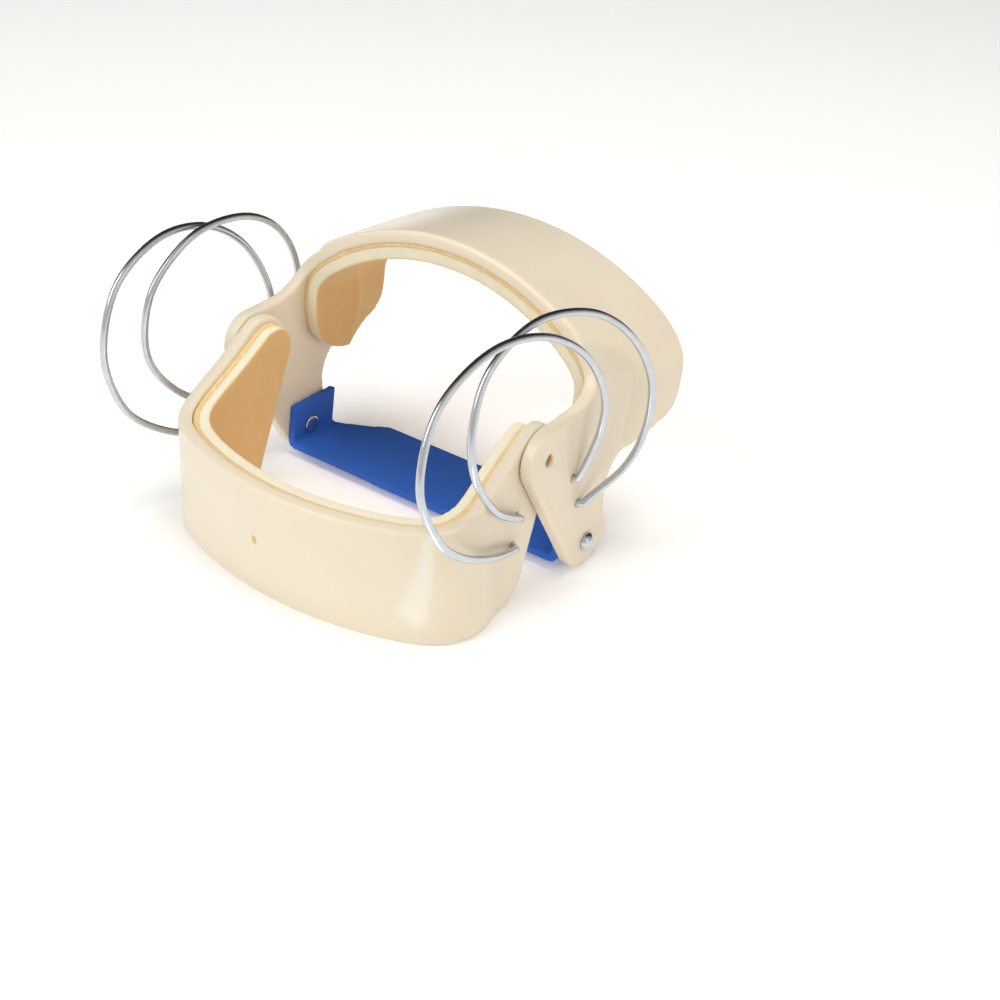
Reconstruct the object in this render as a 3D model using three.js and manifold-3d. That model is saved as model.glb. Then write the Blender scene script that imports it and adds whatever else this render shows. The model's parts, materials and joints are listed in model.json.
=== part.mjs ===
// Knuckle bender splint: two hinged, foam-lined plastic bands that spring wires pull together.
// Millimetres. While it is modelled, +X runs along the hinge, +Y towards the hand band's far rim and +Z up
// to its crown, with the origin on the hinge axis at mid-width. The outer group then stands it on the
// surface that it rests on.
import * as THREE from 'three';
import { mergeVertices } from 'three/addons/utils/BufferGeometryUtils.js';
import Module from 'manifold-3d';

const wasm = await Module();
wasm.setup();

// Walls, linings and clearances
const plasticWall = 3.4;
const foamWall = 3.6;
const seatGap = 0.3;
const runningGap = 0.4;

// Hand band: the crosspiece
const handRimWidth = 92.8;
const handWristWidth = 100.4;
const handRimY = 17.7;
const handBandLength = 33.7;
const handCrownHeight = 35;
const handShoulderHeight = 17.8;
const handShoulderAcross = 13;
const handShoulderDown = 8;
const handRimFootHeight = 18.4;
const handFootDrop = 2.5;
const handFootCorner = 7;
const handFootCornerTurn = 1.6;
const handFootCornerRise = 9.5;

// Ears: the side plates of the hand band, which carry the hinge, the wires and the palm strap
const earEndRadius = 7.6;
const earTopHeight = 9.6;
const earTopRun = 11;
const earTipY = 22.1;
const earTipDrop = 26.6;
const earTipRadius = 8.8;
const earWaist = { startY: 29, startDrop: 22, turnY: 25.5, turnDrop: 10.6, endY: 35, endDrop: 7.1 };
const hingeHoleRadius = 1.7;

// Finger band, in its own frame: forwards from the hinge, and down its wall
const fingerWallLean = 9.2;
const fingerCornerWidth = 90.2;
const fingerFlare = 2.2;
const fingerCornerReach = 30.9;
const fingerFrontReach = 42.6;
const fingerCornerAlong = 14;
const fingerCornerAcross = 15;
const fingerRimDepth = 6;
const fingerRimTurnReach = 24;
const fingerRimTurnRadius = 7;
const fingerWallHeight = 29;
const fingerFootCorner = 8;
const legEndRadius = 7;
const legStraightReach = 13.6;
const legBackFootReach = 4.5;
const legBackFootDepth = 29.9;
const pegRecess = 1.5;

// Foam linings
const foamRimInset = 0.5;
const foamOverhang = 1.2;
const handFoamRimFoot = 8.4;
const legFoamEndInset = 3.2;

// Spring wires
const wireDiameter = 1.8;
const wireHoleClearance = 0.35;
const wireEndDepth = 2.2;
const wireTurnRadius = 1.6;

// Palm strap and its rivets
const strapThickness = 1.8;
const strapRimY = 15.4;
const strapWidth = 23.6;
const strapTabWidth = 15;
const strapBendRadius = 1.2;
const strapTabRise = 6.4;
const strapSlope = 6.3;
const rivetBelowTip = 1.9;
const rivetShankRadius = 1.1;
const rivetHeadRadius = 2.3;
const rivetHeadHeight = 1.3;
const rivetHeadClearance = 0.35;

// Facets
const crownSteps = 26;
const rivetSides = 20;
const domeSteps = 5;
const cornerSteps = 8;
const arcSteps = 10;
const flareSteps = 3;
const wireSides = 8;
const wireSteps = 64;

const plastic = { color: '#f0e6d3', roughness: 0.32, metalness: 0 };
const foam = { color: '#efdcb8', roughness: 0.95, metalness: 0 };
const steel = { color: '#c9ccd0', roughness: 0.25, metalness: 1 };
const webbing = { color: '#2e5299', roughness: 0.9, metalness: 0 };

const degrees = THREE.MathUtils.degToRad;

// What follows from the sizes above
const earPlaneX = handRimWidth / 2;
const earInnerX = earPlaneX - plasticWall;
const legOuterX = earInnerX - runningGap;
const legInnerX = legOuterX - plasticWall;
const handWristY = handRimY + handBandLength;
const earFlatEndY = earTipY + earTipRadius;
const fingerFootDepth = fingerRimDepth + fingerWallHeight;
const wireRadius = wireDiameter / 2;
const wireHoleRadius = wireRadius + wireHoleClearance;
const rivetDrop = earTipDrop + rivetBelowTip;
const strapRise = Math.tan(degrees(strapSlope));
const strapLineDrop = rivetDrop + rivetHeadRadius + rivetHeadClearance + strapBendRadius
  + strapRise * (earTipY - strapRimY);
const cutReach = 20;

// Where the wires enter: forward and down from the hinge on the legs, back and down from it on the ears
const legHoles = [
  { name: 'upper', reach: 7.1, depth: 12.8 },
  { name: 'lower', reach: 8.6, depth: 20.2 },
];
const earHoles = [
  { name: 'upper', y: 11.7, z: -8.1 },
  { name: 'lower', y: 15.5, z: -15.9 },
];

// The wires' loops, from the leg round to the ear: each row gives how far outside the ear's face the
// wire's centre is, then its Y and Z. The two sides differ, as on a splint that is worn.
const wires = [
  { side: 1, name: 'right_front', leg: 'lower', ear: 'upper', loop: [
    [-0.4, -18.8, -17.8], [0.2, -32.3, -12.1], [-0.6, -39.4, -6.3], [-2.9, -44.8, 5.4],
    [-4.3, -42.1, 18.3], [-4.3, -36.3, 25.5], [-2.6, -23.8, 32.1], [0.3, -9.9, 32.2], [3.3, 2.6, 25.8],
    [4.7, 11.1, 14.5], [4.0, 13.5, 5.4],
  ] },
  { side: 1, name: 'right_back', leg: 'upper', ear: 'lower', loop: [
    [-1.6, -17.6, -7.3], [-2.5, -26.0, 3.3], [-3.8, -27.3, 12.1], [-4.8, -23.1, 24.7],
    [-3.5, -13.2, 33.0], [-1.6, -4.7, 35.3], [2.1, 8.3, 33.5], [5.9, 19.1, 26.0], [8.4, 25.8, 14.5],
    [8.1, 26.7, 1.4], [6.1, 23.9, -6.9],
  ] },
  { side: -1, name: 'left_front', leg: 'lower', ear: 'upper', loop: [
    [1.2, -18.0, -21.5], [4.1, -30.0, -16.1], [5.2, -36.0, -9.8], [6.0, -40.6, 2.6], [6.1, -38.9, 15.6],
    [6.0, -34.2, 22.9], [5.3, -23.4, 29.4], [4.4, -10.4, 29.5], [3.5, 1.3, 23.5], [2.7, 9.5, 13.1],
    [2.1, 12.2, 4.7],
  ] },
  { side: -1, name: 'left_back', leg: 'upper', ear: 'lower', loop: [
    [1.2, -17.2, -11.9], [3.9, -26.4, -3.5], [4.6, -29.2, 4.4], [4.2, -27.7, 16.9], [2.8, -19.8, 26.8],
    [1.9, -12.2, 30.5], [1.2, 0.6, 30.8], [1.6, 12.3, 25.4], [2.5, 20.5, 15.5], [3.0, 23.4, 3.1],
    [2.6, 22.1, -5.4],
  ] },
];

function toSolid(geometry) {
  const bare = geometry.index ? geometry.toNonIndexed() : geometry.clone();
  bare.deleteAttribute('normal');
  bare.deleteAttribute('uv');
  const merged = mergeVertices(bare, 1e-4);
  const vertProperties = new Float32Array(merged.attributes.position.array);
  const triVerts = new Uint32Array(merged.index.array);
  return new wasm.Manifold(new wasm.Mesh({ numProp: 3, vertProperties, triVerts }));
}

function toGeometry(solid) {
  const mesh = solid.getMesh();
  const geometry = new THREE.BufferGeometry();
  geometry.setAttribute('position', new THREE.Float32BufferAttribute(mesh.vertProperties, 3));
  geometry.setIndex(new THREE.Uint32BufferAttribute(mesh.triVerts, 1));
  return geometry;
}

function named(name, geometry, look) {
  const material = new THREE.MeshStandardMaterial(look);
  const mesh = new THREE.Mesh(geometry, material);
  mesh.name = name;
  return mesh;
}

// A solid through rings of points that all have the same count, closed by a flat cap at each end
function loft(rings) {
  const count = rings[0].length;
  const positions = rings.flat().flatMap((point) => [point.x, point.y, point.z]);
  const index = [];
  for (let ring = 0; ring + 1 < rings.length; ring += 1) {
    for (let i = 0; i < count; i += 1) {
      const a = ring * count + i;
      const b = ring * count + (i + 1) % count;
      index.push(a, b, b + count, a, b + count, a + count);
    }
  }
  const flat = rings[0].map((point) => new THREE.Vector2(point.x, point.y));
  const last = (rings.length - 1) * count;
  for (const [a, b, c] of THREE.ShapeUtils.triangulateShape(flat, [])) {
    const turn = new THREE.Vector2().subVectors(flat[b], flat[a]).cross(
      new THREE.Vector2().subVectors(flat[c], flat[a]));
    const face = turn > 0 ? [a, b, c] : [a, c, b];
    const along = THREE.ShapeUtils.isClockWise(flat) ? face : [face[0], face[2], face[1]];
    index.push(...along);
    index.push(last + along[0], last + along[2], last + along[1]);
  }
  const geometry = new THREE.BufferGeometry();
  geometry.setAttribute('position', new THREE.Float32BufferAttribute(positions, 3));
  geometry.setIndex(index);
  return outwards(geometry);
}

// Turns a closed geometry's faces outwards
function outwards(geometry) {
  const p = geometry.attributes.position;
  const ids = geometry.index.array;
  const corner = [new THREE.Vector3(), new THREE.Vector3(), new THREE.Vector3()];
  let volume = 0;
  for (let i = 0; i < ids.length; i += 3) {
    corner.forEach((vector, k) => vector.fromBufferAttribute(p, ids[i + k]));
    volume += corner[0].dot(corner[1].clone().cross(corner[2]));
  }
  if (volume < 0) {
    for (let i = 0; i < ids.length; i += 3) {
      [ids[i], ids[i + 1]] = [ids[i + 1], ids[i]];
    }
  }
  return geometry;
}

// The points of a U-shaped wall in its own plane, from the foot of the right leg over to the left.
// Each leg runs straight to its bend and then towards the shoulder, where its line meets the line of
// the front. The shoulder is rounded off, starting so far along the leg and so far across the front.
function bandLine(shape) {
  const { legX, footAlong, bendAlong, shoulderX, shoulderAlong, roundAlong, roundAcross, front } = shape;
  const rise = front - shoulderAlong;
  const arcX = shoulderX - roundAcross;
  let tangent = rise / (shoulderX + roundAcross);
  for (let i = 0; i < 8; i += 1) {
    tangent = (rise - rise * tangent ** 2 + arcX * tangent ** 3) / (shoulderX + roundAcross);
  }
  const arcAngle = 2 * Math.atan(tangent);
  const radius = arcX / Math.sin(arcAngle);
  const arcPoint = (angle) =>
    new THREE.Vector2(radius * Math.sin(angle), front - radius + radius * Math.cos(angle));
  const foot = new THREE.Vector2(legX, footAlong);
  const bend = new THREE.Vector2(legX, bendAlong);
  const shoulder = new THREE.Vector2(shoulderX, shoulderAlong);
  const start = shoulder.clone().lerp(bend, roundAlong / (shoulderAlong - bendAlong));
  const rounding = new THREE.QuadraticBezierCurve(start, shoulder, arcPoint(arcAngle));
  const half = [foot, bend, ...rounding.getPoints(cornerSteps)];
  for (let i = 1; i < crownSteps / 2; i += 1) {
    half.push(arcPoint(arcAngle * (1 - i / (crownSteps / 2))));
  }
  const other = half.map((point) => new THREE.Vector2(-point.x, point.y)).reverse();
  return [...half, arcPoint(0), ...other];
}

// The same line moved inwards by a distance
function inset(line, distance) {
  return line.map((point, i) => {
    const before = line[Math.max(i - 1, 0)];
    const after = line[Math.min(i + 1, line.length - 1)];
    const normal = new THREE.Vector2(-(after.y - before.y), after.x - before.x).normalize();
    return point.clone().addScaledVector(normal, distance);
  });
}

function wallSection(line, outerDepth, innerDepth) {
  return [...inset(line, outerDepth), ...inset(line, innerDepth).reverse()];
}

// A prism that runs across the whole splint, from an outline in the plane square to the hinge
function acrossPrism(outline, halfWidth) {
  const geometry = new THREE.ExtrudeGeometry(outline, {
    depth: 2 * halfWidth,
    bevelEnabled: false,
    curveSegments: arcSteps,
  });
  geometry.translate(0, 0, -halfWidth);
  geometry.applyMatrix4(new THREE.Matrix4().makeBasis(
    new THREE.Vector3(0, 1, 0),
    new THREE.Vector3(0, 0, 1),
    new THREE.Vector3(1, 0, 0),
  ));
  return toSolid(geometry);
}

// A round bar along X between two distances on one side
function crossBar(radius, fromX, toX, y, z) {
  const geometry = new THREE.CylinderGeometry(radius, radius, Math.abs(toX - fromX), 20);
  geometry.rotateZ(Math.PI / 2);
  geometry.translate((fromX + toX) / 2, y, z);
  return toSolid(geometry);
}

// Hand band
const handLineFoot = -earTipDrop - earTipRadius - cutReach;

function handLine(y) {
  const share = Math.max(0, (y - earFlatEndY) / (handWristY - earFlatEndY));
  const halfWidth = earPlaneX + share * (handWristWidth - handRimWidth) / 2;
  return bandLine({
    legX: halfWidth,
    footAlong: handLineFoot,
    bendAlong: 0,
    shoulderX: halfWidth,
    shoulderAlong: handShoulderHeight,
    roundAlong: handShoulderDown,
    roundAcross: handShoulderAcross,
    front: handCrownHeight,
  });
}

function handShell(outerDepth, innerDepth) {
  const stations = [-earEndRadius - cutReach, earFlatEndY, handWristY + cutReach];
  const rings = stations.map((y) => wallSection(handLine(y), outerDepth, innerDepth)
    .map((point) => new THREE.Vector3(point.x, y, point.y)));
  return toSolid(loftAlongY(rings));
}

// A loft whose rings lie in planes square to Y
function loftAlongY(rings) {
  const turned = rings.map((ring) => ring.map((point) => new THREE.Vector3(point.x, point.z, -point.y)));
  return loft(turned).rotateX(Math.PI / 2);
}

// Side view of the hand band, in Y and Z
function handOutline() {
  const tip = new THREE.Vector2(earTipY, -earTipDrop);
  const slope = tip.angle() - 2 * Math.PI - Math.asin((earEndRadius - earTipRadius) / tip.length());
  const facing = slope - Math.PI / 2;
  const outline = new THREE.Shape();
  outline.moveTo(handWristY, handCrownHeight + cutReach);
  outline.lineTo(handRimY, handCrownHeight + cutReach);
  outline.lineTo(handRimY, handRimFootHeight);
  outline.quadraticCurveTo(handRimY, earTopHeight, handRimY - earTopRun, (earTopHeight + earEndRadius) / 2);
  outline.lineTo(0, earEndRadius);
  outline.absarc(0, 0, earEndRadius, Math.PI / 2, facing + 2 * Math.PI, false);
  outline.absarc(tip.x, tip.y, earTipRadius, facing + 2 * Math.PI, 2 * Math.PI, false);
  outline.lineTo(earWaist.startY, -earWaist.startDrop);
  outline.quadraticCurveTo(earWaist.turnY, -earWaist.turnDrop, earWaist.endY, -earWaist.endDrop);
  addHandFoot(outline, handWristY, -handFootDrop);
  outline.closePath();
  return outline;
}

// The foot of the hand band runs out to its far rim and turns up into it
function addHandFoot(outline, wristY, footHeight) {
  outline.lineTo(wristY - handFootCorner, footHeight);
  const turn = footHeight + handFootCornerTurn;
  outline.quadraticCurveTo(wristY, turn, wristY, footHeight + handFootCornerRise);
}

function handBand() {
  let band = handShell(0, plasticWall).intersect(acrossPrism(handOutline(), handWristWidth));
  for (const side of [1, -1]) {
    const from = side * (earInnerX - cutReach / 2);
    const to = side * (earPlaneX + cutReach / 2);
    band = band.subtract(crossBar(hingeHoleRadius, from, to, 0, 0));
    band = band.subtract(crossBar(rivetShankRadius + seatGap, from, to, earTipY, -rivetDrop));
    for (const hole of earHoles) {
      band = band.subtract(crossBar(wireHoleRadius, from, to, hole.y, hole.z));
    }
  }
  return toGeometry(band);
}

// Foam under the crosspiece and down the inside of each side plate
function handFoam() {
  const rimY = handRimY + foamRimInset;
  const wristY = handWristY - foamRimInset;
  const overhang = earWaist.endDrop + foamOverhang;
  const outline = new THREE.Shape();
  outline.moveTo(wristY, handCrownHeight + cutReach);
  outline.lineTo(rimY, handCrownHeight + cutReach);
  outline.lineTo(rimY, handFoamRimFoot);
  outline.quadraticCurveTo(rimY, -overhang, earWaist.endY, -overhang);
  addHandFoot(outline, wristY, -handFootDrop - foamOverhang);
  outline.closePath();
  const outer = plasticWall + seatGap;
  return toGeometry(handShell(outer, outer + foamWall).intersect(acrossPrism(outline, handWristWidth)));
}

// Finger band. Y runs forwards from the hinge here and Z down the wall.
function fingerLine(depth) {
  const share = Math.max(0, (depth - fingerRimDepth) / fingerWallHeight);
  return bandLine({
    legX: legOuterX,
    footAlong: -legEndRadius - cutReach,
    bendAlong: legStraightReach,
    shoulderX: fingerCornerWidth / 2 + share * fingerFlare,
    shoulderAlong: fingerCornerReach,
    roundAlong: fingerCornerAlong,
    roundAcross: fingerCornerAcross,
    front: fingerFrontReach,
  });
}

function fingerShell(outerDepth, innerDepth) {
  const stations = [-legEndRadius - cutReach];
  for (let i = 0; i <= flareSteps; i += 1) {
    stations.push(fingerRimDepth + (fingerWallHeight + seatGap) * i / flareSteps);
  }
  const rings = stations.map((depth) => wallSection(fingerLine(depth), outerDepth, innerDepth)
    .map((point) => new THREE.Vector3(point.x, point.y, depth)));
  return toSolid(loft(rings));
}

// Side view of the finger band, in its own Y and Z. The front rim turns up into a leg that runs to its
// round end, and the leg's back edge comes down to the foot of the wall and turns into it.
function fingerOutline(rimInset, endRadius, backInset) {
  const rim = fingerRimDepth + rimInset;
  const foot = fingerFootDepth - rimInset;
  const corner = new THREE.Vector2(fingerRimTurnReach, rim);
  const front = tangentPoint(corner, endRadius, -1);
  const turned = corner.clone().lerp(front, fingerRimTurnRadius / corner.distanceTo(front));
  const backFoot = new THREE.Vector2(legBackFootReach + backInset, legBackFootDepth - rimInset);
  const back = tangentPoint(backFoot, endRadius, 1);
  const footTurn = backFoot.clone().lerp(back, (foot - backFoot.y) / (back.y - backFoot.y));
  const outline = new THREE.Shape();
  outline.moveTo(fingerFrontReach + cutReach, rim);
  outline.lineTo(corner.x + fingerRimTurnRadius, rim);
  outline.quadraticCurveTo(corner.x, corner.y, turned.x, turned.y);
  outline.lineTo(front.x, front.y);
  outline.absarc(0, 0, endRadius, front.angle(), back.angle() - 2 * Math.PI, true);
  outline.lineTo(backFoot.x, backFoot.y);
  outline.quadraticCurveTo(footTurn.x, foot, footTurn.x + fingerFootCorner, foot);
  outline.lineTo(fingerFrontReach + cutReach, foot);
  outline.closePath();
  return outline;
}

// Where a line from a point touches a circle round the hinge, on the side that turn gives
function tangentPoint(point, radius, turn) {
  const angle = point.angle() + turn * Math.acos(radius / point.length());
  return new THREE.Vector2(radius * Math.cos(angle), radius * Math.sin(angle));
}

function fingerBand() {
  const prism = acrossPrism(fingerOutline(0, legEndRadius, 0), fingerCornerWidth);
  let band = fingerShell(0, plasticWall).intersect(prism);
  for (const side of [1, -1]) {
    const peg = crossBar(hingeHoleRadius - seatGap, side * (legOuterX - plasticWall / 2),
      side * (earPlaneX - pegRecess), 0, 0);
    band = band.add(peg);
    for (const hole of legHoles) {
      band = band.subtract(crossBar(wireHoleRadius, side * (legInnerX - cutReach / 4),
        side * (legOuterX + cutReach / 2), hole.reach, hole.depth));
    }
  }
  return toGeometry(band);
}

// Foam behind the front wall and along the inside of both legs, up to just short of their round ends
function fingerFoam() {
  const outer = plasticWall + seatGap;
  const outline = fingerOutline(foamRimInset, legEndRadius - legFoamEndInset / 2, legFoamEndInset);
  const shell = fingerShell(outer, outer + foamWall).intersect(acrossPrism(outline, fingerCornerWidth));
  return toGeometry(shell);
}

// Turns the finger band's own frame into the hand band's
const fingerFrame = new THREE.Group();
fingerFrame.rotation.x = degrees(180 + fingerWallLean);
fingerFrame.updateMatrixWorld();

// Spring wires: a round loop beside the hinge, whose ends turn in to their holes.
// The turn starts inside the hole and leaves the face towards the loop.
function wireTurn(side, faceX, hole, loopEnd) {
  const towards = new THREE.Vector3(0, loopEnd.y - hole.y, loopEnd.z - hole.z).normalize();
  const turn = [
    { out: -wireEndDepth, along: 0 },
    { out: 0.2 * wireTurnRadius, along: 0 },
    { out: 0.75 * wireTurnRadius, along: 0.3 * wireTurnRadius },
    { out: wireTurnRadius, along: 1.1 * wireTurnRadius },
  ];
  return turn.map(({ out, along }) =>
    new THREE.Vector3(side * (faceX + out), hole.y, hole.z).addScaledVector(towards, along));
}

function wirePath(wire) {
  const legHole = legHoles.find((hole) => hole.name === wire.leg);
  const earHole = earHoles.find((hole) => hole.name === wire.ear);
  const leg = new THREE.Vector3(0, legHole.reach, legHole.depth).applyMatrix4(fingerFrame.matrixWorld);
  const loop = wire.loop.map(([out, y, z]) => new THREE.Vector3(wire.side * (earPlaneX + out), y, z));
  const points = [
    ...wireTurn(wire.side, legOuterX, leg, loop[0]),
    ...loop,
    ...wireTurn(wire.side, earPlaneX, earHole, loop[loop.length - 1]).reverse(),
  ];
  return new THREE.CatmullRomCurve3(points, false, 'centripetal');
}

function roundSection(radius, sides) {
  const corners = [];
  for (let i = 0; i < sides; i += 1) {
    const angle = 2 * Math.PI * i / sides;
    corners.push(new THREE.Vector2(radius * Math.cos(angle), radius * Math.sin(angle)));
  }
  return new THREE.Shape(corners);
}

function springWire(wire) {
  return new THREE.ExtrudeGeometry(roundSection(wireRadius, wireSides), {
    steps: wireSteps,
    extrudePath: wirePath(wire),
    bevelEnabled: false,
  });
}

// Palm strap: flat between the ears, with its ends turned up inside their tips
function strapLine() {
  const outerX = earInnerX - seatGap;
  const x = outerX - strapThickness / 2;
  const half = [new THREE.Vector2(x, strapTabRise - rivetDrop)];
  for (let i = 0; i <= cornerSteps; i += 1) {
    const angle = Math.PI / 2 * (i / cornerSteps);
    half.push(new THREE.Vector2(
      x - strapBendRadius * (1 - Math.cos(angle)),
      strapBendRadius * (1 - Math.sin(angle)) - strapLineDrop,
    ));
  }
  const other = half.map((point) => new THREE.Vector2(-point.x, point.y)).reverse();
  return [...half, ...other];
}

function palmStrap() {
  const line = strapLine();
  const section = wallSection(line, -strapThickness / 2, strapThickness / 2);
  const rings = [0, strapWidth].map((run) =>
    section.map((point) => new THREE.Vector3(point.x, strapRimY + run, point.y + strapRise * run)));
  const tabFar = strapRimY + strapTabWidth;
  const outline = new THREE.Shape();
  outline.moveTo(-earPlaneX, strapRimY - strapThickness);
  outline.lineTo(earPlaneX, strapRimY - strapThickness);
  outline.lineTo(earPlaneX, tabFar);
  outline.quadraticCurveTo(legInnerX, tabFar, legInnerX - strapWidth / 2, strapRimY + strapWidth);
  outline.lineTo(strapWidth / 2 - legInnerX, strapRimY + strapWidth);
  outline.quadraticCurveTo(-legInnerX, tabFar, -earPlaneX, tabFar);
  outline.closePath();
  const plan = new THREE.ExtrudeGeometry(outline, {
    depth: 3 * strapLineDrop,
    bevelEnabled: false,
    curveSegments: arcSteps,
  });
  plan.translate(0, 0, -2 * strapLineDrop);
  let strap = toSolid(loftAlongY(rings)).intersect(toSolid(plan));
  for (const side of [1, -1]) {
    strap = strap.subtract(crossBar(rivetShankRadius + seatGap, side * (legInnerX - cutReach / 4),
      side * (earPlaneX + cutReach / 4), earTipY, -rivetDrop));
  }
  return toGeometry(strap);
}

// Rivet: a domed head outside the ear, a shank through ear and strap, and a flat head inside
function rivet(side) {
  const outside = earPlaneX + seatGap;
  const inside = earInnerX - seatGap - strapThickness - seatGap;
  const profile = [new THREE.Vector2(0, inside - rivetHeadHeight / 2)];
  profile.push(new THREE.Vector2(rivetHeadRadius, inside - rivetHeadHeight / 2));
  profile.push(new THREE.Vector2(rivetHeadRadius, inside));
  profile.push(new THREE.Vector2(rivetShankRadius, inside));
  profile.push(new THREE.Vector2(rivetShankRadius, outside));
  for (let i = 0; i <= domeSteps; i += 1) {
    const angle = Math.PI / 2 * (i / domeSteps);
    profile.push(new THREE.Vector2(
      rivetHeadRadius * Math.cos(angle),
      outside + rivetHeadHeight * Math.sin(angle),
    ));
  }
  profile[profile.length - 1].x = 0;
  const geometry = new THREE.LatheGeometry(profile, rivetSides);
  geometry.rotateZ(-side * Math.PI / 2);
  geometry.translate(0, earTipY, -rivetDrop);
  return geometry;
}

const worn = new THREE.Group();
worn.add(named('hand_band', handBand(), plastic));
worn.add(named('hand_lining', handFoam(), foam));
worn.add(named('palm_strap', palmStrap(), webbing));
worn.add(named('rivet_right', rivet(1), steel));
worn.add(named('rivet_left', rivet(-1), steel));
for (const wire of wires) {
  worn.add(named(`spring_wire_${wire.name}`, springWire(wire), steel));
}
fingerFrame.add(named('finger_band', fingerBand(), plastic));
fingerFrame.add(named('finger_lining', fingerFoam(), foam));
worn.add(fingerFrame);

// At rest it stands on the front of the finger band's lower rim and on the ear tips
const frontFoot = new THREE.Vector3(0, fingerFrontReach, fingerFootDepth);
frontFoot.applyMatrix4(fingerFrame.matrixWorld);
const tipCentre = new THREE.Vector3(0, earTipY, -earTipDrop);
const footRun = tipCentre.clone().sub(frontFoot);
const tipFall = Math.asin(earTipRadius / Math.hypot(footRun.y, footRun.z));
worn.rotation.x = tipFall - Math.atan2(footRun.z, footRun.y);

// The origin is under the middle of its box
const splint = new THREE.Group();
splint.add(worn);
splint.updateMatrixWorld(true);
const box = new THREE.Box3().setFromObject(splint, true);
const middle = box.getCenter(new THREE.Vector3());
worn.position.set(-middle.x, -middle.y, -box.min.z);

export default splint;
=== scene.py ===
"""Knuckle bender splint: two foam-lined plastic bands, a palm strap, rivets and four spring wires.

Shapes are drawn in millimetres: +X runs along the hinge, +Y towards the hand band's far rim and +Z up to its
crown, with the origin on the hinge axis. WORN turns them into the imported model's frame, in metres.
"""
import json
import math

import bpy
import numpy as np
from bpy.props import FloatProperty, FloatVectorProperty, IntProperty, PointerProperty
from mathutils import Matrix, Vector

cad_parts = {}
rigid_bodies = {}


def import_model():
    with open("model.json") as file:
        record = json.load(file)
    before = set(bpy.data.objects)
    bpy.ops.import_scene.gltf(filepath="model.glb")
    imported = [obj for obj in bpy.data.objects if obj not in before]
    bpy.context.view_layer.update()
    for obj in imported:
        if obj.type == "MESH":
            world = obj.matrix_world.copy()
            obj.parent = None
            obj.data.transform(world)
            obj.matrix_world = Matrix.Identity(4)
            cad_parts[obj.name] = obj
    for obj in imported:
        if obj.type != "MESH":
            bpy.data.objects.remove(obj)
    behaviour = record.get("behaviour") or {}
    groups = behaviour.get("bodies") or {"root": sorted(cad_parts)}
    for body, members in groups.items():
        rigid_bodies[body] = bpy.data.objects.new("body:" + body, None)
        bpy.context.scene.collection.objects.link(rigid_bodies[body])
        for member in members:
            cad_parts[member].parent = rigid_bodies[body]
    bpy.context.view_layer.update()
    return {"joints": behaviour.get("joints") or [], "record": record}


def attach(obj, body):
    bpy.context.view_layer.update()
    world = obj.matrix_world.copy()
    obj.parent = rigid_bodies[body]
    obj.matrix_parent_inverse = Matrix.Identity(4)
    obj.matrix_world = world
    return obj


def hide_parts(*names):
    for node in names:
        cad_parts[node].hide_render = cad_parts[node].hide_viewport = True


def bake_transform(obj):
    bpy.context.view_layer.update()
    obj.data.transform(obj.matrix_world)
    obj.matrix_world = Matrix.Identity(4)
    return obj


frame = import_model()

bl_info = {
    "name": "Knuckle bender splint",
    "version": (1, 0, 0),
    "blender": (4, 5, 0),
    "location": "View3D > Sidebar > Splint",
    "description": "Builds the finished pieces of a knuckle bender splint on its packed model",
    "category": "Object",
}

HINGE = frame["joints"][0]

# The strap's flat top is a mount, so its axis tells how far the standing splint is tipped
STRAP_NORMAL = frame["record"]["mounts"][0]["axis"]
STRAP_SLOPE = math.radians(6.3)
TILT = math.atan2(-STRAP_NORMAL[1], STRAP_NORMAL[2]) - STRAP_SLOPE
WORN = (
    Matrix.Translation(HINGE["pos_m"])
    @ Matrix.Rotation(TILT, 4, "X")
    @ Matrix.Scale(0.001, 4)
)
HAND_BODY = HINGE["parent"]
FINGER_BODY = HINGE["child"]
SIDES = ((1, "right"), (-1, "left"))

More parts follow.
